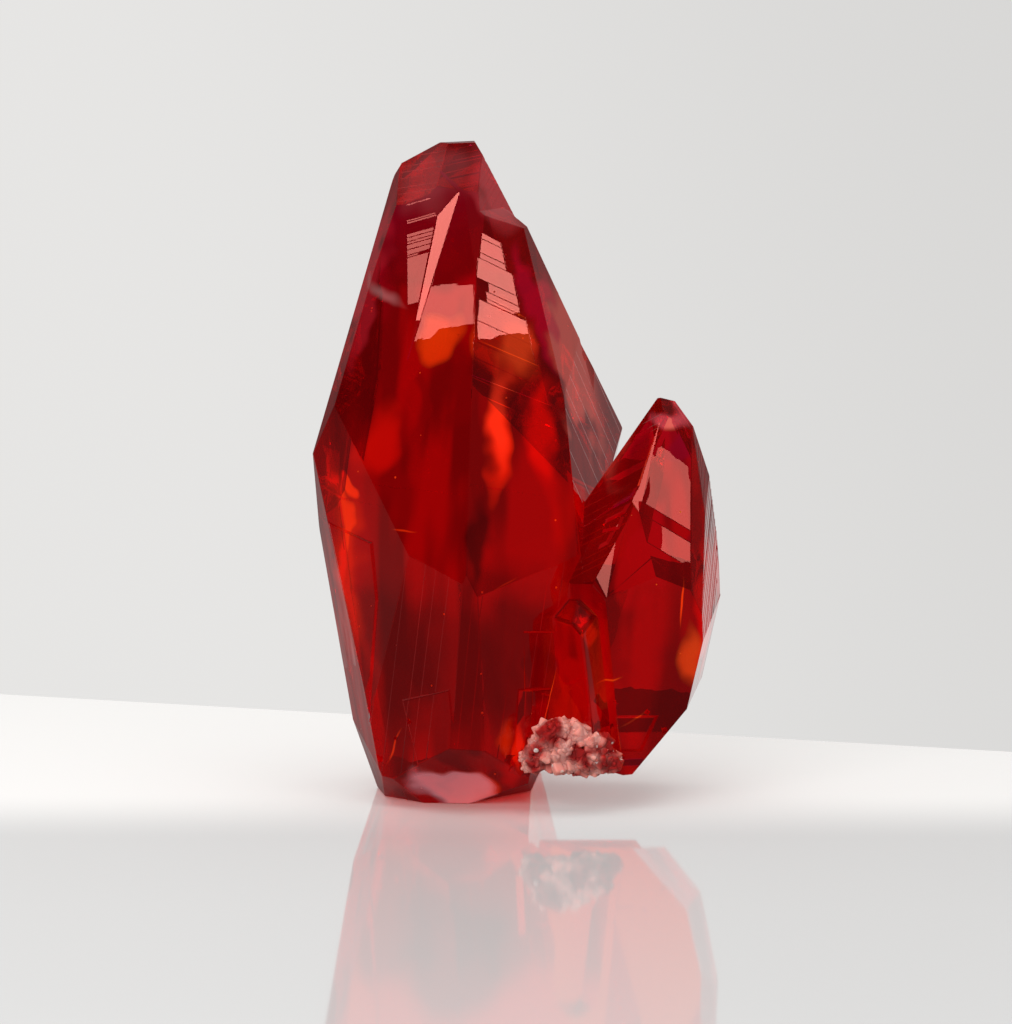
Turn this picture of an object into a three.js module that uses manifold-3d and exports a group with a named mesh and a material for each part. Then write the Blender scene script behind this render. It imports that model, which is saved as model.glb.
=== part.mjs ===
// A rhodochrosite specimen: a tall steep-sided crystal, a shorter one grown from its right flank and a
// small prism in the angle between them, all one stone, with a pale druse in the notch at their foot.
// Millimetres, +Z up. The front looks along -Y, and the specimen stands on the plane Z = 0.
import * as THREE from 'three';
import { mergeVertices } from 'three/addons/utils/BufferGeometryUtils.js';
import Module from 'manifold-3d';

const wasm = await Module();
wasm.setup();

const BLOCK = 160;
const WALL_SLOPE = 30;
const DRUSE_GAP = 0.3;

// Each face of a crystal is [turn, lean, reach]. It looks `turn` degrees round from the front, to the
// right where that is positive, and `lean` degrees above the level. It lies `reach` mm from the heart.
const TALL = {
  heart: new THREE.Vector3(-4.2, 0, 22),
  faces: {
    left: [-72, 16.7, 11.05],
    frontLeft: [-31, 11.5, 7.25],
    ridge: [-16, 15.5, 9.18],
    frontRight: [28, 10.5, 8.15],
    frontOuter: [36, 11.5, 8.75],
    right: [66, 14, 10.15],
    rightLower: [70, 8.9, 9.55],
    back: [-174, 12.5, 11.3],
    backLeft: [-125, 11.5, 10.0],
    lowerLeft: [-76, -9, 9.9],
    girdleLeft: [-45, 1, 7.6],
    lowerFrontLeft: [-36, -2, 8.05],
    lowerFront: [-2, -5, 10.3],
    lowerFrontRight: [32, -3, 9.4],
    lowerRight: [85, -13.5, 10.1],
    lowerBack: [-172, -3, 11.6],
    lowerBackLeft: [-128, -9, 10.6],
    capLeft: [-40.7, 32.1, 15.2],
    capMiddle: [-13, 33, 15.35],
    capFront: [-8, 44, 19.4],
    capCorner: [-85, 30, 16.45],
    capTop: [-20, 75, 26.25],
    capBack: [170, 25.6, 11.45],
    footFront: [-5, -47, 18.55],
    footLeft: [-80, -20, 12.9],
    footFrontLeft: [-45, -55, 20.5],
    footRight: [50, -69, 21.55],
  },
};
const TALL_BODY = {
  shoulder: [53, 52, 19.5],
  backRight: [128, 32.8, 13.65],
  backRightLower: [125, 21.5, 12.4],
};
const TALL_CROWN = {
  crownRight: [58, 14.3, 8.7],
  crownBackRight: [93, 28.4, 13.8],
};
// The proud upper layer of the left front face ends on its right at a wedge-shaped riser.
const PROUD_LAYER = {
  frontLeft: [-31, 8.5, 6.75],
  leftOuter: [-38, 7.7, 6.73],
  riser: [-1, 3, 4.35],
};
// Growth steps on the right front face, from the lowest up: the outline [x, z] each keeps, as seen from
// the front, and the reach of the face inside it.
const FRONT_STEPS = [
  { reach: 8.2, outline: [[-6, 33.2], [3, 29.5], [3, 48], [-6, 48]] },
  { reach: 8.25, outline: [[-6, 36], [3, 32], [3, 48], [-6, 48]] },
  { reach: 8.3, outline: [[-6, 39.5], [3, 35], [3, 48], [-6, 48]] },
  { reach: 8.36, outline: [[-6, 42.2], [3, 37.7], [3, 48], [-6, 48]] },
  { reach: 8.43, outline: [[-6, 44.3], [3, 39.4], [3, 48], [-6, 48]] },
];

// Shallow steps low on the left, told by the same outline and reach.
const LEFT_STEPS = [
  {
    face: 'girdleLeft',
    reach: 7.75,
    outline: [[-15, 4], [-11.2, 5], [-10.4, 15.4], [-10.8, 19.5], [-15, 21]],
  },
  {
    face: 'lowerFrontLeft',
    reach: 8.18,
    outline: [[-7.2, 3.2], [-4.4, 3.2], [-5, 9.2], [-8.4, 8.1]],
  },
];

const SIDE = {
  heart: new THREE.Vector3(10.6, -1.5, 16),
  faces: {
    flank: [-48, 27.5, 7.35],
    strip: [-20.5, 19, 7.35],
    triangle: [9, 12, 5.93],
    front: [22.7, 14.6, 5.45],
    frontOuter: [45, 11, 5.1],
    rightUpper: [67, 10.4, 4.97],
    right: [78, 1.3, 3.88],
    rightLower: [82, -13, 4.4],
    backRight: [120, 25, 6.4],
    back: [175, 14, 4.4],
    backLeft: [-120, 31, 6.95],
    lowerLeft: [-85, -8, 9.0],
    lowerFront: [15, -4, 5.5],
    lowerFrontLeft: [-45, -8, 7.7],
    cap: [38, 35, 9.1],
    capTop: [160, 73, 13.2],
    footRight: [85, -40, 7.3],
    under: [175, -80, 12.15],
  },
};
// Small ledges on the flank beside its bright front strip.
const FLANK_LEDGES = [
  [[7.1, 22.5], [8.3, 23.2], [8.6, 23.8], [7.3, 23.1]],
  [[6.5, 21.4], [7.7, 22.1], [8, 22.6], [6.7, 21.8]],
  [[6.3, 20.7], [7.3, 21], [7.6, 21.7], [6.5, 21.1]],
  [[6, 19.6], [6.5, 19.9], [6.9, 20.6], [6.3, 20.2]],
];
const FLANK_LEDGE_REACH = 7.6;

const THIRD = {
  heart: new THREE.Vector3(5.3, -4.5, 10),
  faces: {
    left: [-56, -8, 2.5],
    right: [52, 3, 2.4],
    back: [180, 0, 2.5],
    rightBack: [100, 5, 3.4],
    top: [0, 50, 5.4],
    topLeft: [-50, 45, 5.2],
    foot: [0, -85, 6.8],
  },
};

// Grains of the druse as [x, y, z, size], the root they share first. Every second one is blocky: a box
// with these shares of its size. A margin is how far corners move out when the sides move out by one.
const BLOCK_SIDE = 1.15;
const BLOCK_LENGTH = 1.3;
const BLOCK_MARGIN = 1.75;
const ROUND_MARGIN = 1.27;
const DRUSE_GRAINS = [
  [3.9, -7.6, 4.8, 1.5],
  [2.3, -8.3, 6.2, 0.8],
  [3.2, -8.2, 6.3, 0.7],
  [4.5, -8.4, 5.9, 0.75],
  [1.9, -7.9, 4.8, 1.3],
  [3.0, -8.1, 3.9, 1.05],
  [3.7, -7.9, 5.0, 1.25],
  [5.4, -8.2, 4.9, 1.1],
  [5.8, -8.1, 4.0, 1.0],
  [4.6, -8.1, 3.8, 1.05],
  [6.9, -7.5, 3.8, 0.8],
  [6.3, -7.8, 5.3, 0.55],
  [1.3, -7.8, 3.9, 0.9],
];

// Flat-bottomed pits as the outline [x, z] each has on a face, and its depth.
const TALL_PITS = [
  {
    face: 'lowerFrontRight',
    depth: 0.3,
    outline: [[0.6, 8.9], [3.1, 8.8], [3.2, 13.2], [0.5, 13.4]],
  },
  {
    face: 'lowerFrontRight',
    depth: 0.25,
    outline: [[1.4, 5], [3.2, 5], [3.2, 8.2], [1.9, 8.7], [1.4, 8.2]],
  },
];
const SIDE_PITS = [
  {
    face: 'lowerFront',
    depth: 0.25,
    outline: [[7.6, 4.4], [9.2, 4.4], [10.4, 7], [7.2, 7.1]],
  },
];

// Chips broken out of the edges and the lower faces, as [x, y, z, size].
const CHIPS = [
  [5.1, 2.3, 33.2, 0.55],
  [0.1, -1.3, 43.5, 0.4],
  [-2.3, -1.4, 47.7, 0.35],
  [15.3, 1.3, 18.6, 0.45],
  [15.3, 1.2, 16.1, 0.35],
  [15.1, 1, 12.4, 0.5],
  [-9.0, -6.0, 5.2, 0.4],
  [-8.0, -6.8, 6.6, 0.35],
  [-10.2, -4.9, 3.6, 0.5],
  [-9.4, -5.9, 8.4, 0.35],
  [7.1, -7.6, 8.1, 0.35],
  [9.6, -6.9, 7.3, 0.3],
  [10.9, -6.5, 5.9, 0.4],
];

// A reddish six-sided column and a dark knob grown on the foot of the tall crystal.
const COLUMN = { at: [0.55, -7.35, 6.8], radius: 0.6, height: 4.4, tilt: 3 };
const KNOB = { at: [0.25, -7.3, 3.5], radius: 1.0 };

/** The unit vector that looks `turn` degrees round from the front and `lean` degrees up. */
function look(turn, lean) {
  const t = THREE.MathUtils.degToRad(turn);
  const l = THREE.MathUtils.degToRad(lean);
  return new THREE.Vector3(Math.cos(l) * Math.sin(t), -Math.cos(l) * Math.cos(t), Math.sin(l));
}

/** A closed three.js geometry as a solid that can be joined and cut. */
function toSolid(geometry) {
  const bare = geometry.clone();
  bare.deleteAttribute('normal');
  bare.deleteAttribute('uv');
  const merged = mergeVertices(bare);
  return new wasm.Manifold(new wasm.Mesh({
    numProp: 3,
    vertProperties: new Float32Array(merged.attributes.position.array),
    triVerts: new Uint32Array(merged.index.array),
  }));
}

/** A joined and cut solid as a three.js geometry. */
function toGeometry(solid) {
  const mesh = solid.getMesh();
  const geometry = new THREE.BufferGeometry();
  geometry.setAttribute('position', new THREE.BufferAttribute(mesh.vertProperties, 3));
  geometry.setIndex(new THREE.BufferAttribute(mesh.triVerts, 1));
  return geometry;
}

/** What is left of a block round the crystal's heart inside all its faces. */
function cutCrystal({ heart, faces }) {
  const block = new THREE.BoxGeometry(BLOCK, BLOCK, BLOCK).translate(heart.x, heart.y, heart.z);
  let solid = toSolid(block);
  for (const [turn, lean, reach] of Object.values(faces)) {
    const outward = look(turn, lean);
    const inward = outward.clone().negate();
    solid = solid.trimByPlane(inward.toArray(), -(outward.dot(heart) + reach));
  }
  return solid;
}

/** The same crystal with some faces moved or added. */
function withFaces(crystal, changes) {
  return { heart: crystal.heart, faces: { ...crystal.faces, ...changes } };
}

/** The points [x, z] of an outline laid on a plane. */
function onPlane(outward, level, outline) {
  return outline.map(([x, z]) => {
    const y = (level - outward.x * x - outward.z * z) / outward.y;
    return new THREE.Vector3(x, y, z);
  });
}

/** Keeps what lies inside an outline on a face; the walls spread `slope` degrees with depth. */
function keepInside(solid, corners, outward, slope) {
  const s = THREE.MathUtils.degToRad(slope);
  let kept = solid;
  corners.forEach((corner, i) => {
    const along = corners[(i + 1) % corners.length].clone().sub(corner);
    const inward = outward.clone().cross(along).normalize();
    inward.multiplyScalar(Math.cos(s)).addScaledVector(outward, -Math.sin(s));
    kept = kept.trimByPlane(inward.toArray(), inward.dot(corner));
  });
  return kept;
}

/** A crystal with one face moved out, kept only inside an outline on that face. */
function growthLayer(crystal, name, reach, outline) {
  const [turn, lean] = crystal.faces[name];
  const outward = look(turn, lean);
  const corners = onPlane(outward, outward.dot(crystal.heart) + reach, outline);
  const grown = cutCrystal(withFaces(crystal, { [name]: [turn, lean, reach] }));
  return keepInside(grown, corners, outward, WALL_SLOPE);
}

/** What a flat-bottomed pit takes out of a face; its walls close in with depth. */
function pitCutter(crystal, { face, depth, outline }) {
  const [turn, lean, reach] = crystal.faces[face];
  const outward = look(turn, lean);
  const level = outward.dot(crystal.heart) + reach;
  const slab = toSolid(new THREE.BoxGeometry(BLOCK, BLOCK, BLOCK))
    .trimByPlane(outward.toArray(), level - depth)
    .trimByPlane(outward.clone().negate().toArray(), -(level + depth));
  return keepInside(slab, onPlane(outward, level, outline), outward, -WALL_SLOPE);
}

/** The tall crystal with its proud layer, growth steps and pits, and what has grown on its foot. */
function growTall() {
  const body = cutCrystal(withFaces(TALL, TALL_BODY));
  const crown = cutCrystal(withFaces(TALL, TALL_CROWN));
  const proud = cutCrystal(withFaces(TALL, { ...TALL_BODY, ...TALL_CROWN, ...PROUD_LAYER }));
  let tall = body.add(crown).add(proud);
  for (const { reach, outline } of FRONT_STEPS) {
    tall = tall.add(growthLayer(withFaces(TALL, TALL_BODY), 'frontRight', reach, outline));
  }
  for (const { face, reach, outline } of LEFT_STEPS) {
    tall = tall.add(growthLayer(withFaces(TALL, TALL_BODY), face, reach, outline));
  }
  for (const pit of TALL_PITS) {
    tall = tall.subtract(pitCutter(TALL, pit));
  }
  const column = new THREE.CylinderGeometry(COLUMN.radius, COLUMN.radius, COLUMN.height, 6)
    .rotateX(Math.PI / 2)
    .rotateY(THREE.MathUtils.degToRad(COLUMN.tilt))
    .translate(...COLUMN.at);
  const knob = new THREE.IcosahedronGeometry(KNOB.radius, 0).translate(...KNOB.at);
  return tall.add(toSolid(column)).add(toSolid(knob));
}

/** The shorter crystal on the right with its ledges and pit. */
function growSide() {
  let side = cutCrystal(SIDE);
  for (const outline of FLANK_LEDGES) {
    side = side.add(growthLayer(SIDE, 'flank', FLANK_LEDGE_REACH, outline));
  }
  for (const pit of SIDE_PITS) {
    side = side.subtract(pitCutter(SIDE, pit));
  }
  return side;
}

/** A grain of the druse, blocky and many-sided by turns, with `gap` mm added all round. */
function druseGrain([x, y, z, size], i, gap) {
  const blocky = i % 2 === 1;
  const radius = size + gap * (blocky ? BLOCK_MARGIN : ROUND_MARGIN);
  const shape = blocky
    ? new THREE.BoxGeometry(BLOCK_SIDE * radius, BLOCK_SIDE * radius, BLOCK_LENGTH * radius)
    : new THREE.DodecahedronGeometry(radius, 0);
  return toSolid(shape.rotateX(0.9 * i).rotateZ(1.7 * i).translate(x, y, z));
}

/** A chip broken out of the stone, turned its own way. */
function chipCutter([x, y, z, size], i) {
  const shape = new THREE.OctahedronGeometry(size, 0);
  return toSolid(shape.rotateX(1.3 * i).rotateY(0.7 * i).translate(x, y, z));
}

/** A named mesh of flat facets in one plain material. */
function part(name, solid, color, roughness) {
  const material = new THREE.MeshStandardMaterial({ color, roughness, metalness: 0, flatShading: true });
  const mesh = new THREE.Mesh(toGeometry(solid), material);
  mesh.name = name;
  return mesh;
}

/** The druse, or with a gap the room it needs in the stone. */
function growDruse(gap) {
  const grains = DRUSE_GRAINS.map((grain, i) => druseGrain(grain, i, gap));
  return grains.reduce((sum, grain) => sum.add(grain));
}

let stone = growTall().add(growSide()).add(cutCrystal(THIRD));
CHIPS.forEach((chip, i) => {
  stone = stone.subtract(chipCutter(chip, i));
});
stone = stone.subtract(growDruse(DRUSE_GAP)).trimByPlane([0, 0, 1], 0);

const specimen = new THREE.Group();
specimen.add(part('crystal_group', stone, 0x9c0f1c, 0.12));
specimen.add(part('pale_druse', growDruse(0), 0xd99a92, 0.4));

const middle = new THREE.Box3().setFromObject(specimen).getCenter(new THREE.Vector3());
for (const mesh of specimen.children) {
  mesh.geometry.translate(-middle.x, -middle.y, 0);
}

export default specimen;
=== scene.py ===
"""A rhodochrosite specimen: three clear red crystals grown as one stone, with a pale druse at their foot.

Metres, +Z up. The front looks along -Y, and the specimen stands on the plane Z = 0. Places and sizes
in the lists below are in mm, and angles are in degrees.
"""
import math
import random

import bmesh
import bpy
from mathutils import Matrix, Vector


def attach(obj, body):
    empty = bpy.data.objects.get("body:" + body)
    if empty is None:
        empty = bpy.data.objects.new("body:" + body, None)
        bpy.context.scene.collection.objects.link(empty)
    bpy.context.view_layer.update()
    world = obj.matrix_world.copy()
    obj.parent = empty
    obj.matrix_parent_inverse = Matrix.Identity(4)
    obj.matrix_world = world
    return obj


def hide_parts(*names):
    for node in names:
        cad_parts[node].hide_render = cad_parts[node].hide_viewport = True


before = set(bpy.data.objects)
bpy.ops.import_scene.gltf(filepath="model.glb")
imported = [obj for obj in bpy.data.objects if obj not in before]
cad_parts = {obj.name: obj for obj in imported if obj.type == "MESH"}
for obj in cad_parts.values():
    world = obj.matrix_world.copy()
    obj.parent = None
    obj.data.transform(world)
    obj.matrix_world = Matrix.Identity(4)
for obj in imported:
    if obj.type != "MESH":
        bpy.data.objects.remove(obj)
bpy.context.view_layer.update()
scene = bpy.context.scene

MM = 0.001

# The camera: a long lens a little above the level, looking along +Y.
LENS_MM = 120
SENSOR_MM = 36
CAMERA_TARGET = Vector((-0.9025, -1.505, 21.457)) * MM
CAMERA_DISTANCE = 256 * MM
CAMERA_RISE = 5

# Rhodochrosite glass: how it bends light, and what it swallows per metre of red, green and blue.
CRYSTAL_IOR = 1.62
ABSORPTION_DENSITY = 700.0
ABSORBED = (5.0, 150.0, 420.0)


def look(turn, lean):
    """The unit vector that looks `turn` degrees round from the front and `lean` degrees up."""
    around, up = math.radians(turn), math.radians(lean)
    return Vector((math.cos(up) * math.sin(around), -math.cos(up) * math.cos(around), math.sin(up)))


# Lit panels that the front faces show as bright patches: name, point of the face, turn and rise of
# the mirrored light, distance of the panel, its corners as (across, up), and its brightness.
SOFT_BOXES = [
    ("box_left", (-7.48, -4.59, 39.08), -64.5, 13.2, 35,
     [(1.4, 1.5), (-0.8, 2.7), (-3.7, 3.5), (-4.5, 0.3), (-1.8, -0.7), (-1.2, -1.7), (0.6, -2.5)], 6.5),
    ("box_camera", (-6.1, -4.9, 39.8), -3.15, 5.1, 200,
     [(-8, 12), (8, 12), (8, -7), (-8, -7)], 13.0),
    ("box_right", (-1.94, -6.32, 38.63), 57.2, 17.3, 200,
     [(3.0, 12), (-0.6, 12), (-1.8, 4.0), (-4.2, -9.5), (4.5, -9.5)], 11.0),
    ("box_low_right", (10.91, -7.05, 22.67), 50.0, 21.4, 200,
     [(0.1, 8.0), (-4.0, 4.1), (-1.6, -12.5), (5.4, -11.0)], 5.0),
    ("box_strip", (7.56, -8.26, 21.29), -42.1, 30.7, 200,
     [(-3.5, 15), (1.0, 15), (4.5, -13), (-1.5, -13)], 6.0),
    ("box_ridge", (9.4, -6.9, 25.0), -13.5, 40.3, 200,
     [(-10, 14), (10, 14), (10, -14), (-10, -14)], 7.0),
]

# The slightly warm white of the panels.
PANEL_WHITE = (1.0, 0.9, 0.85, 1)

# Broad soft lights as name, place, size and watts.
SOFT_LIGHTS = [
    ("overhead", (0, -100, 450), 500, 1.8),
    ("front_fill", (-150, -350, 150), 250, 1.5),
]

# Painted glow: how brightly the stone's skin gives off a faint light, in place of light that inclusions
# would scatter back out.
PAINTED_GLOW_STRENGTH = 0.046

# The room as the eye sees it, from its side, at 0.5, to straight ahead, at 1: place and colour.
ROOM_SIDE = (0.5, (0.13, 0.13, 0.13, 1))
ROOM_AHEAD = (0.975, (0.82, 0.81, 0.79, 1))
ROOM_BETWEEN = [(0.62, (0.33, 0.33, 0.33, 1)), (0.9, (0.38, 0.38, 0.38, 1))]
ROOM_WHITE = (1.0, 0.99, 0.975, 1)

# The dark part of the room low down on the left: where it starts and is full, to the left and
# downwards, and how dark it is.
DARK_LEFT = (-0.2, -0.45)
DARK_BELOW = (0.5, 0.3)
DARK_SHARE = 0.75

# The slope of the light across the room: its two ends, its lean, and the brightness at each end.
SLOPE_ENDS = (-0.14, 0.2)
SLOPE_LEAN = 0.3
SLOPE_LIGHT = (0.98, 0.85)

# How bright the room is in front of and behind the specimen for light that has come through it, and
# where the one turns into the other.
LIGHT_THROUGH = (0.75, 0.95)
THROUGH_CHANGE = (-0.3, 0.9)

# The table: its corners as (x, y), its near and far greys, the far one painted paler as painted light,
# where along Y the one turns into the other, how far down it lies below the specimen, and how rough it is.
TABLE_CORNERS = [(-900, -900), (900, -900), (900, -310), (-900, 380)]
TABLE_NEAR = (0.41, 0.41, 0.41)
TABLE_FAR = (0.67, 0.66, 0.65)
TABLE_CHANGE = (-20 * MM, 0.0)
TABLE_DROP = 0.05 * MM
TABLE_ROUGHNESS = 0.05

# Painted shade: the colour that mirror images of the table are painted towards, and how far.
TABLE_MIRRORED = (0.02, 0.02, 0.02)
TABLE_DARKENING = 0.8

# How far back from the middle of the stone its painted light and shade zones fade out.
ZONE_FADE = 3.5 * MM

# The noise of the streaks and the uneven zones: its octaves, and the middle of its colours.
NOISE_DETAIL = 1.5
NOISE_MIDDLE = (0.5, 0.5, 0.5)


# Shader groups

def open_group(name, inputs, outputs):
    """An empty node group with named sockets, each given as (name, type, default value)."""
    group = bpy.data.node_groups.new(name, "ShaderNodeTree")
    for label, kind, value in inputs:
        socket = group.interface.new_socket(name=label, in_out="INPUT", socket_type=kind)
        if value is not None:
            socket.default_value = value
    for label, kind in outputs:
        group.interface.new_socket(name=label, in_out="OUTPUT", socket_type=kind)
    start = group.nodes.new("NodeGroupInput")
    end = group.nodes.new("NodeGroupOutput")
    return group, start, end


def feed(tree, socket, value):
    """Give an input its value, or link it where the value is another node's output."""
    if isinstance(value, bpy.types.NodeSocket):
        tree.links.new(value, socket)
    else:
        socket.default_value = value


def add_math(tree, operation, *values):
    """A Math node; each input is a socket or a number."""
    node = tree.nodes.new("ShaderNodeMath")
    node.operation = operation
    for i, value in enumerate(values):
        feed(tree, node.inputs[i], value)
    return node.outputs[0]


def add_vector_math(tree, operation, *values):
    """A Vector Math node; each input is a socket or a vector."""
    node = tree.nodes.new("ShaderNodeVectorMath")
    node.operation = operation
    for i, value in enumerate(values):
        feed(tree, node.inputs[i], value)
    return node.outputs["Value" if operation == "LENGTH" else "Vector"]


def map_range(tree, value, low, high, at_low=0.0, at_high=1.0):
    """A value spread smoothly from one range to another, and held at its ends."""
    node = tree.nodes.new("ShaderNodeMapRange")
    node.interpolation_type = "SMOOTHSTEP"
    numbers = {"Value": value, "From Min": low, "From Max": high, "To Min": at_low, "To Max": at_high}
    for label, number in numbers.items():
        feed(tree, node.inputs[label], number)
    return node.outputs[0]


def split(tree, vector):
    """The X, Y and Z of a vector."""
    node = tree.nodes.new("ShaderNodeSeparateXYZ")
    tree.links.new(vector, node.inputs[0])
    return node.outputs


def zone_group():
    """A soft-edged oval seen from the front: its strength inside, fading to 0 at its rim."""
    group, start, end = open_group(
        "colour_zone",
        [("Position", "NodeSocketVector", None), ("Centre", "NodeSocketVector", (0, 0, 0)),
         ("Lean", "NodeSocketVector", (0, 0, 0)), ("Half Axes", "NodeSocketVector", (1, 1, 1)),
         ("Core", "NodeSocketFloat", 0.5), ("Strength", "NodeSocketFloat", 1.0)],
        [("Mask", "NodeSocketFloat")])
    placed = group.nodes.new("ShaderNodeMapping")
    placed.vector_type = "TEXTURE"
    for label, own in (("Vector", "Position"), ("Location", "Centre"), ("Rotation", "Lean"),
                       ("Scale", "Half Axes")):
        group.links.new(start.outputs[own], placed.inputs[label])
    from_middle = add_vector_math(group, "LENGTH", placed.outputs[0])
    mask = map_range(group, from_middle, start.outputs["Core"], 1.0, start.outputs["Strength"], 0.0)
    group.links.new(mask, end.inputs["Mask"])
    return group


def streak_group():
    """Fibres that run up the crystal: a noise stretched along Z, as a share from 0 to 1."""
    group, start, end = open_group(
        "growth_streaks",
        [("Position", "NodeSocketVector", None), ("Per Metre", "NodeSocketFloat", 300.0),
         ("Stretch", "NodeSocketFloat", 0.12), ("Low", "NodeSocketFloat", 0.4),
         ("High", "NodeSocketFloat", 0.6)],
        [("Share", "NodeSocketFloat")])
    apart = split(group, start.outputs["Position"])
    joined = group.nodes.new("ShaderNodeCombineXYZ")
    group.links.new(apart["X"], joined.inputs["X"])
    group.links.new(apart["Y"], joined.inputs["Y"])
    drawn_out = add_math(group, "MULTIPLY", apart["Z"], start.outputs["Stretch"])
    group.links.new(drawn_out, joined.inputs["Z"])
    grain = group.nodes.new("ShaderNodeTexNoise")
    grain.inputs["Detail"].default_value = NOISE_DETAIL
    group.links.new(joined.outputs[0], grain.inputs["Vector"])
    group.links.new(start.outputs["Per Metre"], grain.inputs["Scale"])
    share = map_range(group, grain.outputs["Fac"], start.outputs["Low"], start.outputs["High"])
    group.links.new(share, end.inputs["Share"])
    return group


def waver_group():
    """A position pushed a little by slow noise, so that what is drawn on it is uneven."""
    group, start, end = open_group(
        "uneven_place",
        [("Position", "NodeSocketVector", None), ("Per Metre", "NodeSocketFloat", 250.0),
         ("Push", "NodeSocketFloat", 0.002)],
        [("Place", "NodeSocketVector")])
    grain = group.nodes.new("ShaderNodeTexNoise")
    grain.inputs["Detail"].default_value = NOISE_DETAIL
    grain.inputs["Roughness"].default_value = 0.55
    group.links.new(start.outputs["Position"], grain.inputs["Vector"])
    group.links.new(start.outputs["Per Metre"], grain.inputs["Scale"])
    pushed = group.nodes.new("ShaderNodeVectorMath")
    pushed.operation = "SCALE"
    centred = add_vector_math(group, "SUBTRACT", grain.outputs["Color"], NOISE_MIDDLE)
    group.links.new(centred, pushed.inputs[0])
    group.links.new(start.outputs["Push"], pushed.inputs["Scale"])
    place = add_vector_math(group, "ADD", start.outputs["Position"], pushed.outputs[0])
    group.links.new(place, end.inputs["Place"])
    return group


def speck_group():
    """Tiny scattered inclusions: 1 on a speck, 0 between, with a share of the cells left empty."""
    group, start, end = open_group(
        "pinpoint_specks",
        [("Position", "NodeSocketVector", None), ("Per Metre", "NodeSocketFloat", 1500.0),
         ("Size", "NodeSocketFloat", 0.2), ("Share", "NodeSocketFloat", 0.3)],
        [("Mask", "NodeSocketFloat")])
    cells = group.nodes.new("ShaderNodeTexVoronoi")
    group.links.new(start.outputs["Position"], cells.inputs["Vector"])
    group.links.new(start.outputs["Per Metre"], cells.inputs["Scale"])
    near = add_math(group, "LESS_THAN", cells.outputs["Distance"], start.outputs["Size"])
    apart = group.nodes.new("ShaderNodeSeparateColor")
    group.links.new(cells.outputs["Color"], apart.inputs[0])
    chosen = add_math(group, "LESS_THAN", apart.outputs["Red"], start.outputs["Share"])
    group.links.new(add_math(group, "MULTIPLY", near, chosen), end.inputs["Mask"])
    return group


# Colours of the light let through. BACK_RED is met by light already inside, the others by the eye; most of
# these paint light and shade on the stone's front.
BACK_RED = (0.9, 0.35, 0.4)
RED = (0.12, 0.0, 0.002)
DIM_RED = (0.02, 0.0, 0.001)
BRIGHT_RED = (0.35, 0.001, 0.003)
ORANGE = (1.0, 0.09, 0.01)
AMBER = (0.55, 0.1, 0.01)
ROSE = (0.6, 0.15, 0.3)
CRIMSON = (0.14, 0.0, 0.02)
DEEP_CRIMSON = (0.12, 0.0, 0.04)
DARK_WINE = (0.04, 0.0, 0.015)
PURPLE = (0.03, 0.0, 0.02)
MAROON = (0.0, 0.0, 0.0)
FROST = (1.0, 0.45, 0.5)
SPECK_PINK = (1.0, 0.8, 0.8)
PURPLE_CLOUD = (0.01, 0.0, 0.015)
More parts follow.
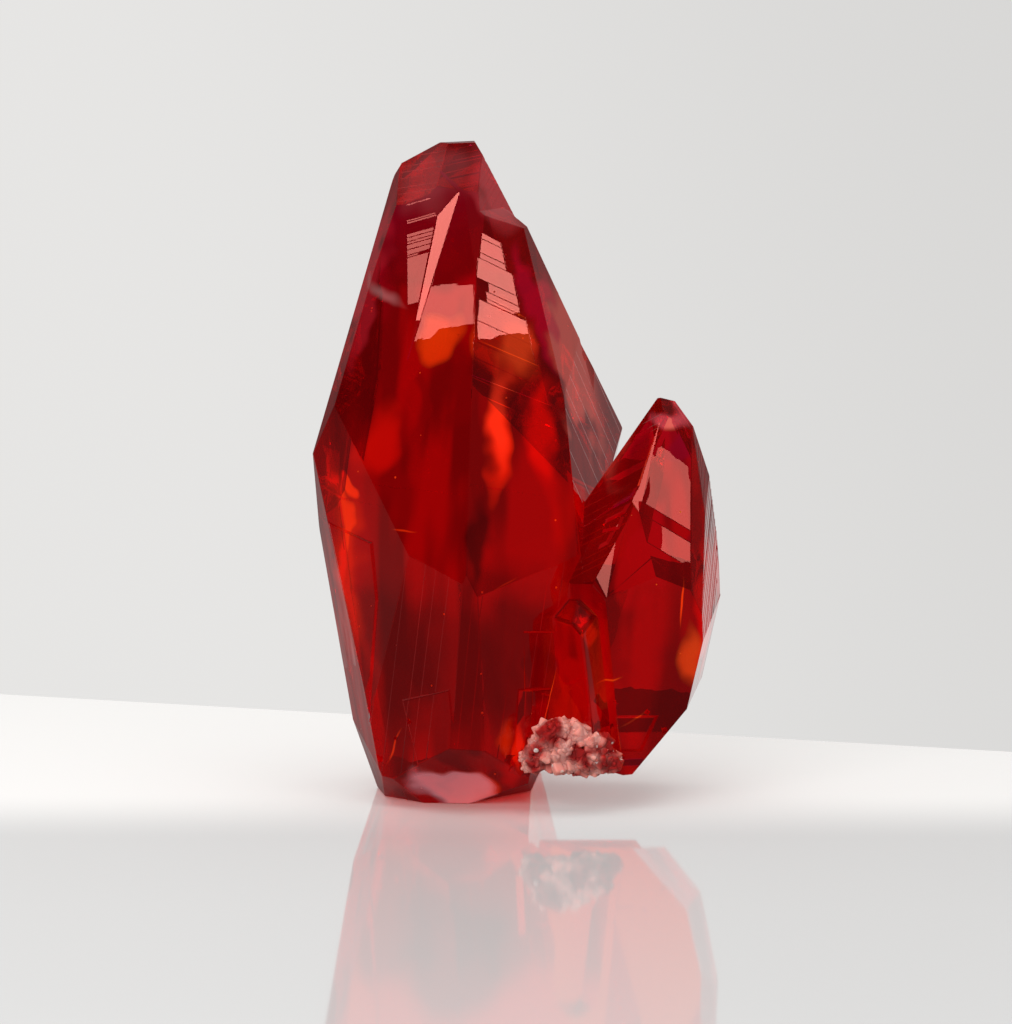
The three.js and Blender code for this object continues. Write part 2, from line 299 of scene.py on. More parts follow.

# Painted light and shade, as seen from the front: glow in orange, amber and bright red, shade in
# wine, maroon, purple and crimson, and pale reflections in rose and frost. Each zone: name, x and z of
# the middle, half width, half height, lean, core as a share of the half axes, colour, and strength. The
# first list, painted shade on the crown and the lower body, tints light inside too.
THROUGH_ZONES = [
    ("crown", -4.7, 45.3, 7.5, 8.9, 0, 0.8, DEEP_CRIMSON, 1),
    ("lower_body", -5.0, 10.3, 5.5, 7.5, 0, 0.45, PURPLE, 0.9),
]
ZONES = [
    ("left_flank", -11.1, 37.0, 1.8, 8.3, 13, 0.5, DARK_WINE, 0.85),
    ("glow_left", -5.8, 34.8, 2.1, 2.0, 0, 0.4, AMBER, 1),
    ("glow_middle", -0.8, 34.1, 2.7, 3.8, -8, 0.5, AMBER, 1),
    ("glow_column", -1.6, 28.0, 1.3, 6.0, 3, 0.3, ORANGE, 0.85),
    ("glow_right", 2.4, 28.4, 1.3, 4.7, -6, 0.3, BRIGHT_RED, 1),
    ("outer_band", 2.4, 37.0, 1.5, 5.9, -15, 0.6, DEEP_CRIMSON, 0.6),
    ("streak_left", -6.8, 30.1, 0.8, 3.9, 4, 0.3, DARK_WINE, 0.8),
    ("streak_ridge", -4.2, 31.1, 0.8, 3.8, 0, 0.4, PURPLE, 0.8),
    ("glow_far_left", -10.5, 27.2, 1.8, 3.2, 8, 0.3, BRIGHT_RED, 0.8),
    ("girdle_shade", -9.0, 23.6, 1.8, 2.6, -20, 0.4, DARK_WINE, 0.75),
    ("spear", -3.1, 20.2, 1.1, 4.4, 2, 0.35, MAROON, 0.96),
    ("lower_left", -11.8, 13.7, 0.9, 8.7, -8, 0.3, BRIGHT_RED, 0.6),
    ("left_rim", -13.3, 20.4, 0.6, 6.0, -6, 0.3, ORANGE, 0.6),
    ("peach_patch", -12.7, 23.6, 0.7, 1.0, 0, 0.6, ORANGE, 0.9),
    ("dark_corner", 1.7, 9.9, 1.5, 2.5, 0, 0.8, DARK_WINE, 0.85),
    ("side_top", 11.5, 26.5, 1.8, 1.2, -20, 0.6, DARK_WINE, 0.7),
    ("side_edge", 13.4, 20.4, 0.6, 6.8, -5, 0.5, DARK_WINE, 0.85),
    ("side_triangle", 9.2, 18.6, 1.5, 4.7, 14, 0.6, CRIMSON, 0.8),
    ("side_left", 6.6, 7.6, 1.9, 3.2, 0, 0.3, CRIMSON, 0.7),
    ("side_base", 8.8, 4.2, 2.1, 1.8, 40, 0.5, DARK_WINE, 0.85),
    ("side_patch", 12.9, 11.4, 1.1, 3.2, -4, 0.3, ROSE, 0.6),
    ("small_crystal", 4.4, 9.1, 1.2, 5.0, 2, 0.6, RED, 1),
    ("small_glow", 5.1, 13.7, 0.8, 1.1, 0, 0.4, ORANGE, 0.95),
    ("column_glow", 0.4, 5.2, 0.7, 2.4, 0, 0.5, ORANGE, 0.6),
    ("bottom_facet", -5.2, 1.6, 3.6, 1.5, 8, 0.6, ROSE, 0.8),
    ("granular", -1.0, 6.2, 0.9, 1.7, 0, 0.0, FROST, 0.4),
    ("side_cap", 11.4, 28.9, 1.4, 1.1, 0, 0.3, ROSE, 0.5),
]

# Painted glow of the cloudier places, in shares of the painted glow strength above, laid out as the colour
# zones are.
GLOW_RED = (1.0, 0.0, 0.012)
GLOW_ZONES = [
    ("crown_left", -6.0, 46.5, 3.5, 3.2, 0, 0.3, (2.4, 0.45, 0.5), 1),
    ("crown_right", -2.0, 45.8, 1.9, 4.2, -20, 0.5, (4.6, 0.5, 0.6), 1),
    ("right_band", 4.8, 31.3, 1.8, 8.5, -22, 0.6, (5.2, 0.7, 0.5), 1),
    ("ridge_band", 1.3, 37.0, 0.9, 5.5, -16, 0.4, (4.3, 0.0, 0.2), 1),
    ("orange_right", -0.2, 33.8, 1.9, 2.6, -10, 0.4, (6.0, 0.5, 0.1), 1),
    ("column", -1.7, 28.8, 1.1, 5.0, 3, 0.3, (7.0, 0.3, 0.1), 1),
    ("beside_column", 2.2, 27.6, 1.6, 5.5, -6, 0.3, (6.0, 0.0, 0.0), 1),
    ("right_edge", 3.4, 21.0, 1.4, 4.0, 0, 0.3, (3.0, 0.0, 0.0), 1),
    ("left_strip", -11.0, 39.0, 1.4, 8.5, 14, 0.5, (4.0, 0.1, 0.2), 1),
    ("left_edge", -12.9, 18.0, 1.9, 8.5, -6, 0.3, (4.2, 0.1, 0.0), 1),
    ("side_tip", 11.2, 28.9, 1.7, 1.1, 0, 0.5, (6.0, 0.9, 1.2), 1),
    ("side_right", 14.3, 14.5, 1.2, 7.0, 0, 0.5, (5.0, 0.0, 0.0), 1),
    ("veil", -10.0, 37.4, 0.7, 2.2, -50, 0.0, (4.0, 1.5, 1.5), 1),
    ("broken_foot", -5.6, 1.5, 3.6, 1.6, 6, 0.6, (3.2, 2.2, 2.6), 1),
]

# Healed cracks and bright threads: long narrow zones with straighter edges.
CRACKS = [
    ("level_crack", -8.2, 20.8, 0.1, 1.1, 88, 0.2, FROST, 0.4),
    ("slanted_crack", -0.8, 17.1, 0.1, 1.0, 60, 0.2, FROST, 0.4),
    ("side_mark", 6.6, 9.6, 0.1, 1.2, 70, 0.2, FROST, 0.4),
    ("side_mark_2", 8.4, 6.8, 0.1, 1.4, 55, 0.2, FROST, 0.4),
    ("thread", 11.9, 15.6, 0.12, 2.0, 3, 0.2, ORANGE, 0.9),
    ("foot_crack", -9.2, 4.6, 0.12, 1.8, 30, 0.2, FROST, 0.4),
]

# The frosted broken foot of the large crystal, as an oval seen from the front.
FROSTED_AT = Vector((-5.5, 0, 0.5)) * MM
FROSTED_SIZE = (4.6 * MM, 1.0, 3.0 * MM)

# How far the edges of the zones waver, and the share of it that a crack has.
ZONE_WAVER = 4.5 * MM
CRACK_WAVER = 0.3

# The etching and the clouds: full below the first height, faint above the second.
LOW_PART = (8 * MM, 18 * MM)
FAINT = 0.08
ETCH_DEPTH = 0.035 * MM
CLOUD_STRENGTH = 0.75
SPECK_STRENGTH = 0.7
FROST_ROUGHNESS = 0.45

# Tints of the shine on the stone and on the druse.
RED_SHINE = (1.0, 0.3, 0.26, 1)
PINK_SHINE = (1.0, 0.35, 0.3, 1)

# The druse: its darker and paler pink, its whitish specks, and its lowest roughness and its range.
DRUSE_DARK = (0.34, 0.012, 0.012)
DRUSE_PALE = (0.92, 0.30, 0.25)
DRUSE_SPECK = (0.95, 0.62, 0.55)
DRUSE_ROUGHNESS = 0.12
DRUSE_ROUGHNESS_RANGE = 0.2


def new_material(name):
    """A material with its tree and its shader."""
    material = bpy.data.materials.new(name)
    material.use_nodes = True
    return material, material.node_tree, material.node_tree.nodes["Principled BSDF"]


def place_group(tree, group, position, **values):
    """One use of a group, with its own values; spaces in a socket's name are underscores here."""
    node = tree.nodes.new("ShaderNodeGroup")
    node.node_tree = group
    tree.links.new(position, node.inputs["Position"])
    for label, value in values.items():
        node.inputs[label.replace("_", " ")].default_value = value
    return node.outputs[0]


def blend_colour(tree, share, under, over):
    """`over` laid on `under` by a share; each colour is a socket or a triple."""
    mix = tree.nodes.new("ShaderNodeMix")
    mix.data_type = "RGBA"
    tree.links.new(share, mix.inputs["Factor"])
    for label, value in (("A", under), ("B", over)):
        socket = next(s for s in mix.inputs if s.name == label and s.type == "RGBA")
        feed(tree, socket, (*value, 1.0) if isinstance(value, tuple) else value)
    return next(s for s in mix.outputs if s.type == "RGBA")


def lay_zones(tree, group, position, zones, colour):
    """Colour zones laid one by one on a colour; gives the new colour."""
    for _, x, z, half_width, half_height, lean, core, tint, strength in zones:
        mask = place_group(tree, group, position, Centre=(x * MM, 0, z * MM),
                           Lean=(0, math.radians(lean), 0),
                           Half_Axes=(half_width * MM, 1.0, half_height * MM),
                           Core=core, Strength=strength)
        colour = blend_colour(tree, mask, colour, tint)
    return colour


def lay_crack_zones(tree, groups, place, uneven, colour):
    """The cracks and threads laid on a colour, with only a part of the zones' unevenness."""
    bent = add_vector_math(tree, "MULTIPLY_ADD", add_vector_math(tree, "SUBTRACT", uneven, place),
                           (CRACK_WAVER, CRACK_WAVER, CRACK_WAVER), place)
    return lay_zones(tree, groups["zone"], bent, CRACKS, colour)


def absorb_light(tree):
    """The volume that swallows light along its way through the stone."""
    swallow = tree.nodes.new("ShaderNodeVolumeAbsorption")
    swallow.inputs["Color"].default_value = tuple(1 - a / ABSORPTION_DENSITY for a in ABSORBED) + (1.0,)
    swallow.inputs["Density"].default_value = ABSORPTION_DENSITY
    tree.links.new(swallow.outputs[0], tree.nodes["Material Output"].inputs["Volume"])


def red_crystal(groups):
    """Clear deep red glass with painted light and shade zones and a painted glow on the skin that the eye
    sees, clouds, cracks, specks and an etched lower half.
    """
    material, tree, shader = new_material("red_crystal")
    place = tree.nodes.new("ShaderNodeTexCoord").outputs["Object"]
    uneven = place_group(tree, groups["waver"], place, Per_Metre=260.0, Push=ZONE_WAVER)
    apart = split(tree, place)
    low_down = map_range(tree, apart["Z"], *LOW_PART, 1.0, FAINT)
    facing = map_range(tree, apart["Y"], 0.0, ZONE_FADE, 1.0, 0.0)
    outside = tree.nodes.new("ShaderNodeLightPath").outputs["Is Camera Ray"]

    streaks = place_group(tree, groups["streaks"], place, Per_Metre=380.0, Stretch=0.1)
    plain = blend_colour(tree, streaks, DIM_RED, RED)
    # Painted light and shade: the zones paint glow, shade and pale reflections on the skin that the eye
    # meets from the front.
    inside = lay_zones(tree, groups["zone"], uneven, THROUGH_ZONES, BACK_RED)
    ahead = lay_zones(tree, groups["zone"], uneven, THROUGH_ZONES + ZONES, plain)
    clouds = place_group(tree, groups["streaks"], uneven, Per_Metre=230.0, Stretch=0.5, Low=0.5, High=0.66)
    clouded = add_math(tree, "MULTIPLY", clouds, add_math(tree, "MULTIPLY", low_down, CLOUD_STRENGTH))
    ahead = blend_colour(tree, clouded, ahead, PURPLE_CLOUD)
    ahead = lay_crack_zones(tree, groups, place, uneven, ahead)
    specks = place_group(tree, groups["specks"], place, Per_Metre=1100.0, Size=0.09, Share=0.12)
    ahead = blend_colour(tree, add_math(tree, "MULTIPLY", specks, SPECK_STRENGTH), ahead, SPECK_PINK)
    skin = blend_colour(tree, facing, plain, ahead)
    tree.links.new(blend_colour(tree, outside, inside, skin), shader.inputs["Base Color"])

    # Painted glow: the skin gives off a faint red light all over, brighter in the zones on the front.
    glow = lay_zones(tree, groups["zone"], uneven, GLOW_ZONES, GLOW_RED)
    seen_ahead = add_math(tree, "MULTIPLY", facing, outside)
    tree.links.new(blend_colour(tree, seen_ahead, GLOW_RED, glow), shader.inputs["Emission Color"])

    etched = place_group(tree, groups["streaks"], place, Per_Metre=420.0, Stretch=0.4, Low=0.2, High=0.8)
    bump = tree.nodes.new("ShaderNodeBump")
    bump.inputs["Distance"].default_value = ETCH_DEPTH
    tree.links.new(add_math(tree, "MULTIPLY", etched, low_down), bump.inputs["Height"])
    tree.links.new(bump.outputs["Normal"], shader.inputs["Normal"])
    frosted = place_group(tree, groups["zone"], uneven, Centre=FROSTED_AT, Half_Axes=FROSTED_SIZE, Core=0.5)
    rough = add_math(tree, "MULTIPLY", add_math(tree, "MAXIMUM", specks, frosted), FROST_ROUGHNESS)
    tree.links.new(rough, shader.inputs["Roughness"])

    shader.inputs["IOR"].default_value = CRYSTAL_IOR
    shader.inputs["Specular Tint"].default_value = RED_SHINE
    shader.inputs["Transmission Weight"].default_value = 1.0
    shader.inputs["Emission Strength"].default_value = PAINTED_GLOW_STRENGTH
    absorb_light(tree)
    return material


def pale_druse(groups):
    """Pale pink, cloudy and half clear, with darker pink between and whitish specks."""
    material, tree, shader = new_material("pale_druse")
    place = tree.nodes.new("ShaderNodeTexCoord").outputs["Object"]
    mottle = place_group(tree, groups["streaks"], place, Per_Metre=500.0, Stretch=1.0, Low=0.42, High=0.62)
    specks = place_group(tree, groups["specks"], place, Per_Metre=1600.0, Size=0.25, Share=0.2)
    colour = blend_colour(tree, mottle, DRUSE_DARK, DRUSE_PALE)
    tree.links.new(blend_colour(tree, specks, colour, DRUSE_SPECK), shader.inputs["Base Color"])
    rough = add_math(tree, "MULTIPLY_ADD", mottle, DRUSE_ROUGHNESS_RANGE, DRUSE_ROUGHNESS)
    tree.links.new(rough, shader.inputs["Roughness"])
    shader.inputs["IOR"].default_value = CRYSTAL_IOR
    shader.inputs["Specular Tint"].default_value = PINK_SHINE
    shader.inputs["Transmission Weight"].default_value = 0.3
    shader.inputs["Subsurface Weight"].default_value = 0.5
    shader.inputs["Subsurface Radius"].default_value = (1.0, 0.45, 0.35)
    shader.inputs["Subsurface Scale"].default_value = 1.0 * MM
    return material


# Shapes

# The grains of the druse: seed, mean distance apart, mean size and its range, how far a grain is sunk
# in its lump and how far it is drawn out, as shares of its size, and how worn its edges are.
DRUSE_SEED = 5
DRUSE_SPACING = 0.55 * MM
DRUSE_GRAIN = 0.62 * MM
GRAIN_SIZES = (0.5, 1.4)
GRAIN_SUNK = 0.35
RHOMB_STRETCH = 0.35
GRAIN_WEAR = 0.2

# Corners nearer than this are one, and faces that bend less than this at their common edge.
SAME_POINT = 0.001 * MM
SAME_PLANE = math.radians(0.3)


def grain_points(solid, spacing, draw):
    """Points spread over a solid's faces, each with the way its face looks."""
    points = []
    for face in solid.faces:
        corners = [v.co for v in face.verts]
        for _ in range(max(1, round(face.calc_area() / spacing ** 2))):
            a, b = sorted((draw.random(), draw.random()))
            i = draw.randrange(1, len(corners) - 1)
            at = corners[0] * a + corners[i] * (b - a) + corners[i + 1] * (1 - b)
            points.append((at, face.normal.copy()))
    return points


def add_rhomb(shape, at, size, turn):
    """A small rhombohedral crystal: a cube drawn out a little along one diagonal."""
    made = bmesh.ops.create_cube(shape, size=size)["verts"]
    diagonal = Vector((1, 1, 1)).normalized()
    for vert in made:
        vert.co += diagonal * vert.co.dot(diagonal) * RHOMB_STRETCH
        vert.co = turn @ vert.co + at


def wear_edges(shape, share):
    """Round every edge by a share of the way along the edges beside it."""
    bmesh.ops.bevel(shape, geom=list(shape.edges), offset=share * 100, offset_type="PERCENT", segments=2,
                    profile=0.5, affect="EDGES")


def dress_druse(material):
    """The pale crust: its lumps with small worn crystals grown all over them."""
    lumps = bmesh.new()
    lumps.from_mesh(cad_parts["pale_druse"].data)
    bmesh.ops.remove_doubles(lumps, verts=lumps.verts, dist=SAME_POINT)
    draw = random.Random(DRUSE_SEED)
    points = grain_points(lumps, DRUSE_SPACING, draw)
    grains = bmesh.new()
    for at, outward in points:
        size = DRUSE_GRAIN * draw.uniform(*GRAIN_SIZES)
        spin = Matrix.Rotation(draw.uniform(0, math.tau), 3, outward)
        tumble_angle = draw.uniform(0, math.tau)
        tumble_axis = Vector((draw.random(), draw.random(), draw.random() + 0.01))
        turn = spin @ Matrix.Rotation(tumble_angle, 3, tumble_axis)
        add_rhomb(grains, at - outward * size * GRAIN_SUNK, size, turn)
    wear_edges(grains, GRAIN_WEAR)
    mesh = bpy.data.meshes.new("druse_crystals")
    grains.to_mesh(mesh)
    lumps.from_mesh(mesh)
    lumps.to_mesh(mesh)
    grains.free()
    lumps.free()
    mesh.materials.append(material)
    druse = bpy.data.objects.new("druse_crystals", mesh)
    scene.collection.objects.link(druse)
    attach(druse, "root")
    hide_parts("pale_druse")


# Growth lines cut in faces: turn and lean of the face, heading of the lines above the level, where
# they start and stop, mean spacing, depth, and seed. They start and stop at a height, but those
# steeper than UPRIGHT at a distance from the middle of their face. LINE_SPACING is the range of the
# spacing, in shares of its mean, and LINE_WIDTH the width of a step.
GROWTH_LINES = [
    (-31, 8.5, 14, 40.8, 46.5, 0.28, 0.007, 1),
    (-31, 11.5, 14, 43.0, 46.5, 0.3, 0.007, 2),
    (28, 10.5, -24, 30.0, 44.5, 1.3, 0.012, 3),
    (-40.7, 32.1, 8, 44.5, 49.0, 0.9, 0.015, 4),
    (67, 10.4, 55, 14.0, 27.0, 0.6, 0.015, 5),
    (78, 1.3, 50, 8.0, 24.0, 0.5, 0.02, 6),
    (22.7, 14.6, -32, 17.0, 22.0, 1.4, 0.02, 7),
    (-48, 27.5, 30, 15.0, 29.0, 0.8, 0.03, 8),
    (-13, 33, 14, 44.5, 49.0, 0.45, 0.01, 9),
    (58, 14.3, 35, 42.0, 48.5, 0.5, 0.012, 10),
    (70, 8.9, -50, 20.0, 36.0, 1.5, 0.015, 11),
    (-36, -2, 80, -9.0, 9.0, 1.9, 0.02, 12),
    (-1.9, -4.9, 84, -9.0, 9.0, 1.3, 0.02, 13),
    (32, -3, 82, -9.0, 9.0, 1.6, 0.02, 14),
]
UPRIGHT = 70
LINE_WIDTH = 0.07 * MM
LINE_SPACING = (0.5, 1.6)

# How far a face may look away from the way given in the list, and the least face that gets lines.
SAME_WAY = math.radians(0.8)
LEAST_FACE = 1.0 * MM * MM

# Points nearer than this to a line lie on it, and corners nearer than this to a cut are on the cut.
ON_LINE = 0.01 * MM
ON_CUT = 0.0005 * MM

# How the two faces of the short crystal look that meet in its blunt ridge: turn and lean, and how far
# a face may look away from them.
MAIN_FACE = (22.7, 14.6)
LEFT_FACE = (-47, 25.8)
MAIN_FACE_SLACK = math.radians(4)
LEFT_FACE_SLACK = math.radians(20)
RIDGE_FROM_X = 4 * MM

# Wear of the edges as width and number of facets: the long edges of the far side, the small prism
# between the crystals, the blunt ridge, and all others.
WEAR_BEHIND = (0.5 * MM, 4)
WEAR_SMALL_PRISM = (0.3 * MM, 4)
WEAR_RIDGE = (0.45 * MM, 1)
WEAR_ELSEWHERE = (0.06 * MM, 2)

# Edges that wear leaves alone: the short ones, the nearly flat ones, and those of tiny faces.
LEAST_EDGE = 0.8 * MM
LEAST_BEND = math.radians(5)
LEAST_WORN_FACE = 0.6 * MM * MM

# The long edges of the far side, and the room that the small prism takes up: left, right and top.
LONG_EDGE = 3 * MM
LOOKS_BACK = 0.2
SMALL_PRISM = (2.6 * MM, 6.8 * MM, 17.5 * MM)


def line_places(first, last, spacing, seed):
    """Places of parallel lines from the first to the last, unevenly spaced."""
    draw = random.Random(seed)
    places = []
    at = first
    while at < last:
        places.append(at)
        at += spacing * draw.uniform(*LINE_SPACING)
    return places


def split_along(shape, faces, base, rise, places):
    """Cut faces along parallel lines, each with its step beside it; gives the faces that this leaves."""
    cut = set(faces)
    for place in places:
        for plane in (place - LINE_WIDTH, place):
            parts = list(cut)
            edges = list({e for f in parts for e in f.edges})
            verts = list({v for f in parts for v in f.verts})
            made = bmesh.ops.bisect_plane(shape, geom=parts + edges + verts, dist=ON_CUT,
                                          plane_co=base + rise * plane, plane_no=rise)
            cut = {g for g in made["geom"] if isinstance(g, bmesh.types.BMFace)}
    return cut


def cut_growth_lines(shape, turn, lean, heading, low, high, spacing, depth, seed):
    """Thin sloping layers on a face, each ending in a low step along a straight line."""
    outward = look(turn, lean)
    faces = [f for f in shape.faces
             if f.normal.angle(outward) < SAME_WAY and f.calc_area() > LEAST_FACE]
    level = Vector((0, 0, 1)).cross(outward).normalized()
    upward = outward.cross(level)
    slope = math.radians(heading)
    rise = upward * math.cos(slope) - level * math.sin(slope)
    base = sum((f.calc_center_median() for f in faces), Vector()) / len(faces)
    start = 0 if abs(heading) > UPRIGHT else base.z
    lines = line_places(low * MM - start, high * MM - start, spacing * MM, seed)
    cut = split_along(shape, faces, base, rise, lines)
    for vert in {v for f in cut for v in f.verts}:
        at = (vert.co - base).dot(rise)
        if at < lines[0] - LINE_WIDTH * 1.5 or at > lines[-1]:
            continue
        following = min((line for line in lines if line >= at - ON_LINE), default=lines[-1])
        previous = max((line for line in lines if line < following), default=following - spacing * MM)
        if abs(following - at) < ON_LINE:
            continue
        share = (at - previous) / max(following - LINE_WIDTH - previous, ON_LINE)
        vert.co += outward * depth * MM * min(max(share, 0), 1)


def is_sharp(edge):
    """Whether wear takes an edge off: long and sharp enough, and not one of a tiny face."""
    return (len(edge.link_faces) == 2 and edge.calc_length() > LEAST_EDGE
            and edge.calc_face_angle(0) > LEAST_BEND
            and min(f.calc_area() for f in edge.link_faces) > LEAST_WORN_FACE)


def is_behind(edge):
    """Whether an edge is a long one of the far side."""
    return all(f.normal.y > LOOKS_BACK for f in edge.link_faces) and edge.calc_length() > LONG_EDGE


def on_small_prism(edge):
    """Whether an edge belongs to the small prism in the angle between the crystals."""
    left, right, top = SMALL_PRISM
    return all(left < v.co.x < right and v.co.y < 0 and v.co.z < top for v in edge.verts)


def on_ridge(edge):
    """Whether an edge is the long blunt ridge of the short crystal, left of its main face."""
    if len(edge.link_faces) != 2:
        return False
    left, right = sorted((f.normal for f in edge.link_faces), key=lambda normal: normal.x)
    return (right.angle(look(*MAIN_FACE)) < MAIN_FACE_SLACK
            and left.angle(look(*LEFT_FACE)) < LEFT_FACE_SLACK
            and all(v.co.x > RIDGE_FROM_X for v in edge.verts))


def wear(shape, edges, width, facets):
    """Cut edges back by a width, in one or more narrow facets."""
    bmesh.ops.bevel(shape, geom=[e for e in edges if e.is_valid], offset=width, segments=facets,
                    profile=0.6, affect="EDGES", clamp_overlap=False)


def wear_crystals(shape):
    """The worn edges of the three crystals, the special ones first."""
    sharp = [e for e in shape.edges if is_sharp(e)]
    behind = [e for e in sharp if is_behind(e)]
    small_prism = [e for e in sharp if e not in behind and on_small_prism(e)]
    ridge = [e for e in shape.edges if e not in small_prism and on_ridge(e)]
    rest = [e for e in sharp if e not in behind + small_prism + ridge]
    wear(shape, behind, *WEAR_BEHIND)
    wear(shape, small_prism, *WEAR_SMALL_PRISM)
    wear(shape, ridge, *WEAR_RIDGE)
    wear(shape, rest, *WEAR_ELSEWHERE)


def dress_crystals(material):
    """The three crystals with worn edges and growth lines, made from the solid that they share."""
    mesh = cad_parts["crystal_group"].data.copy()
    mesh.name = "red_crystals"
    mesh.materials.clear()
    mesh.materials.append(material)
    shape = bmesh.new()
    shape.from_mesh(mesh)
    bmesh.ops.remove_doubles(shape, verts=shape.verts, dist=SAME_POINT)
    bmesh.ops.dissolve_limit(shape, angle_limit=SAME_PLANE, verts=shape.verts, edges=shape.edges)
    wear_crystals(shape)
    for values in GROWTH_LINES:
        cut_growth_lines(shape, *values)
    for face in shape.faces:
        face.smooth = False
    shape.to_mesh(mesh)
    shape.free()
    if "custom_normal" in mesh.attributes:
        mesh.attributes.remove(mesh.attributes["custom_normal"])
    crystals = bpy.data.objects.new("red_crystals", mesh)
    scene.collection.objects.link(crystals)
    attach(crystals, "root")
    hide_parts("crystal_group")


# Staging

def floor_painted_light():
    """A pale smooth floor with painted light: painted paler towards the far edge, and painted dark where
    the crystals mirror it.
    """
    material, tree, shader = new_material("floor_painted_light")
    place = tree.nodes.new("ShaderNodeTexCoord").outputs["Object"]
    # Painted light: the table is painted paler towards its far edge.
    far = map_range(tree, split(tree, place)["Y"], *TABLE_CHANGE)
    painted_floor_colour = blend_colour(tree, far, TABLE_NEAR, TABLE_FAR)
    # Painted shade: where the stone mirrors the table, it is painted dark and given less shine.
    mirrored = tree.nodes.new("ShaderNodeLightPath").outputs["Is Glossy Ray"]
    darkened = add_math(tree, "MULTIPLY", mirrored, TABLE_DARKENING)
    painted_floor_colour = blend_colour(tree, darkened, painted_floor_colour, TABLE_MIRRORED)
    tree.links.new(painted_floor_colour, shader.inputs["Base Color"])
    shine = add_math(tree, "MULTIPLY_ADD", mirrored, -0.5, 0.5)
    tree.links.new(shine, shader.inputs["Specular IOR Level"])
    shader.inputs["Roughness"].default_value = TABLE_ROUGHNESS
    return material


def lay_floor():
    """A table whose far edge is a little behind the specimen."""
    mesh = bpy.data.meshes.new("floor")
    mesh.from_pydata([Vector((x, y, 0)) * MM for x, y in TABLE_CORNERS], [], [(0, 1, 2, 3)])
    mesh.materials.append(floor_painted_light())
    floor = bpy.data.objects.new("floor", mesh)
    scene.collection.objects.link(floor)
    floor.location.z = -TABLE_DROP


def seen_room(tree, toward):
    """How bright the room looks each way: bright ahead, darker at the sides and low down on the left."""
    ramp = tree.nodes.new("ShaderNodeValToRGB")
    tree.links.new(add_math(tree, "MULTIPLY_ADD", toward["Y"], 0.5, 0.5), ramp.inputs[0])
    for element, (place, colour) in zip(ramp.color_ramp.elements, (ROOM_SIDE, ROOM_AHEAD)):
        element.position = place
        element.color = colour
    for place, colour in ROOM_BETWEEN:
        ramp.color_ramp.elements.new(place).color = colour
    left = map_range(tree, toward["X"], *DARK_LEFT, 0.0, DARK_SHARE)
    low = map_range(tree, toward["Z"], *DARK_BELOW)
    shade = add_math(tree, "SUBTRACT", 1.0, add_math(tree, "MULTIPLY", left, low))
    across = add_math(tree, "MULTIPLY_ADD", toward["Z"], SLOPE_LEAN, toward["X"])
    slope = map_range(tree, across, *SLOPE_ENDS, *SLOPE_LIGHT)
    return add_math(tree, "MULTIPLY", add_math(tree, "MULTIPLY", ramp.outputs[0], shade), slope)


def light_room():
    """A bright even room behind the specimen and a dim one behind the camera."""
    world = bpy.data.worlds.new("studio")
    world.use_nodes = True
    world.cycles.sampling_method = "NONE"
    scene.world = world
    tree = world.node_tree
    toward = split(tree, tree.nodes.new("ShaderNodeTexCoord").outputs["Generated"])
    through = map_range(tree, toward["Y"], *THROUGH_CHANGE, *LIGHT_THROUGH)
    path = tree.nodes.new("ShaderNodeLightPath")
    inside = add_math(tree, "MAXIMUM", path.outputs["Is Transmission Ray"], path.outputs["Is Diffuse Ray"])
    strength = tree.nodes.new("ShaderNodeMix")
    tree.links.new(inside, strength.inputs["Factor"])
    tree.links.new(seen_room(tree, toward), strength.inputs["A"])
    tree.links.new(through, strength.inputs["B"])
    sky = tree.nodes["Background"]
    tree.links.new(strength.outputs["Result"], sky.inputs["Strength"])
    sky.inputs["Color"].default_value = ROOM_WHITE


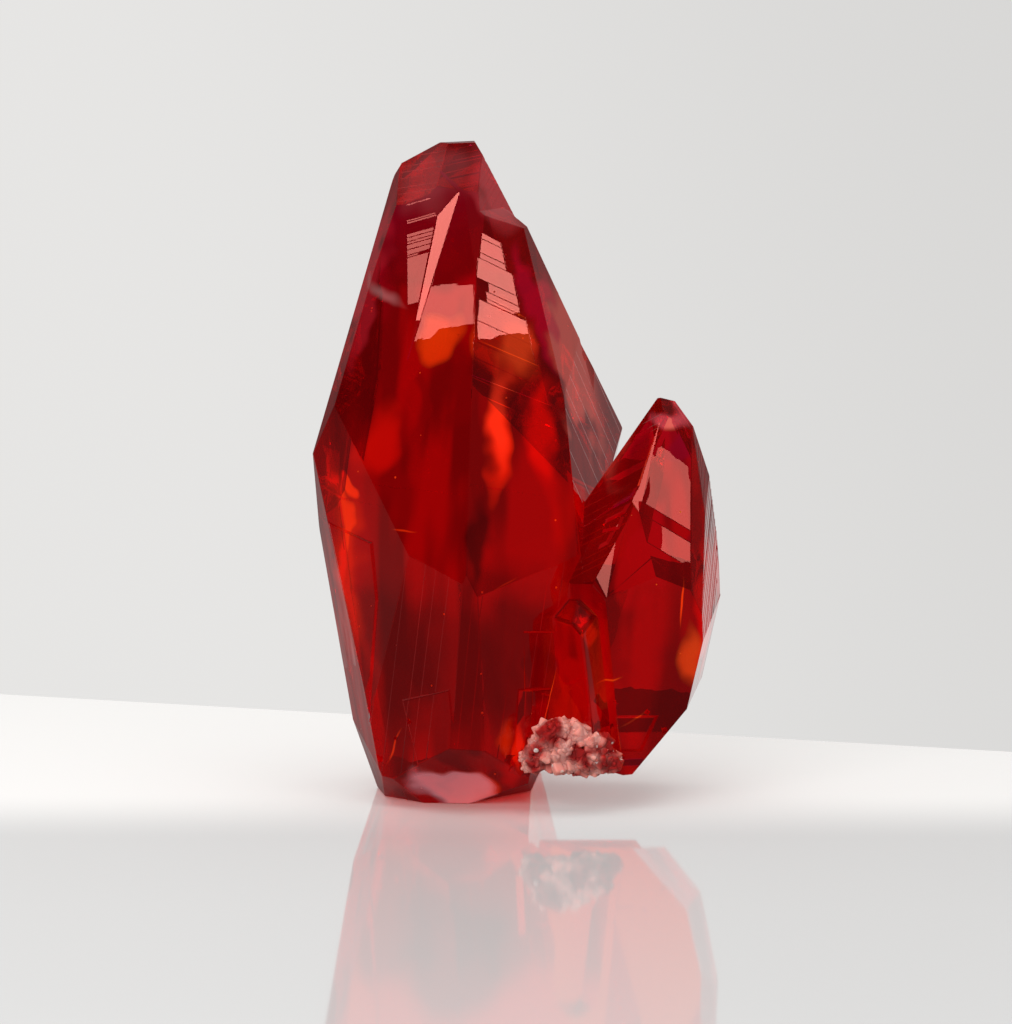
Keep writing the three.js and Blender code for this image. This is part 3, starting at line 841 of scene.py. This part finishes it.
def soft_box(name, at, turn, rise, distance, corners, brightness):
    """A lit panel that a flat face shows as a mirror does. `at` is a point of the face, and turn and
    rise say which way light goes on from there."""
    toward = look(turn, rise)
    across = toward.cross(Vector((0, 0, 1))).normalized()
    up = across.cross(toward)
    middle = Vector(at) + toward * distance
    points = [(middle + across * u + up * v) * MM for u, v in corners]
    mesh = bpy.data.meshes.new(name)
    mesh.from_pydata(points, [], [list(range(len(points)))])
    material, _, shader = new_material(name)
    shader.inputs["Base Color"].default_value = (0, 0, 0, 1)
    shader.inputs["Specular IOR Level"].default_value = 0
    shader.inputs["Emission Color"].default_value = PANEL_WHITE
    shader.inputs["Emission Strength"].default_value = brightness
    mesh.materials.append(material)
    panel = bpy.data.objects.new(name, mesh)
    scene.collection.objects.link(panel)
    panel.visible_camera = False
    panel.visible_diffuse = False


def soft_light(name, at, size, watts):
    """A broad soft light that doesn't show in the faces."""
    data = bpy.data.lights.new(name, "AREA")
    data.size = size * MM
    data.energy = watts
    light = bpy.data.objects.new(name, data)
    scene.collection.objects.link(light)
    light.location = Vector(at) * MM
    light.rotation_mode = "QUATERNION"
    light.rotation_quaternion = (Vector(at) * MM - CAMERA_TARGET).to_track_quat("Z", "Y")
    light.visible_camera = False
    light.visible_glossy = False
    light.visible_transmission = False


def place_camera():
    """The camera, aimed at its target from the front and a little above."""
    data = bpy.data.cameras.new("camera")
    data.lens = LENS_MM
    data.sensor_width = SENSOR_MM
    data.clip_start = 5 * MM
    camera = bpy.data.objects.new("camera", data)
    scene.collection.objects.link(camera)
    back = look(0, CAMERA_RISE)
    camera.location = CAMERA_TARGET + back * CAMERA_DISTANCE
    camera.rotation_mode = "QUATERNION"
    camera.rotation_quaternion = (-back).to_track_quat("-Z", "Y")
    scene.camera = camera


def set_light_paths():
    """Enough bounces for light to cross the stone, and colours that aren't washed out."""
    scene.cycles.max_bounces = 9
    scene.cycles.transmission_bounces = 9
    scene.cycles.glossy_bounces = 6
    scene.view_settings.view_transform = "Standard"


groups = {"zone": zone_group(), "streaks": streak_group(), "specks": speck_group(), "waver": waver_group()}
dress_crystals(red_crystal(groups))
dress_druse(pale_druse(groups))
lay_floor()
light_room()
for box_values in SOFT_BOXES:
    soft_box(*box_values)
for light_values in SOFT_LIGHTS:
    soft_light(*light_values)
place_camera()
set_light_paths()
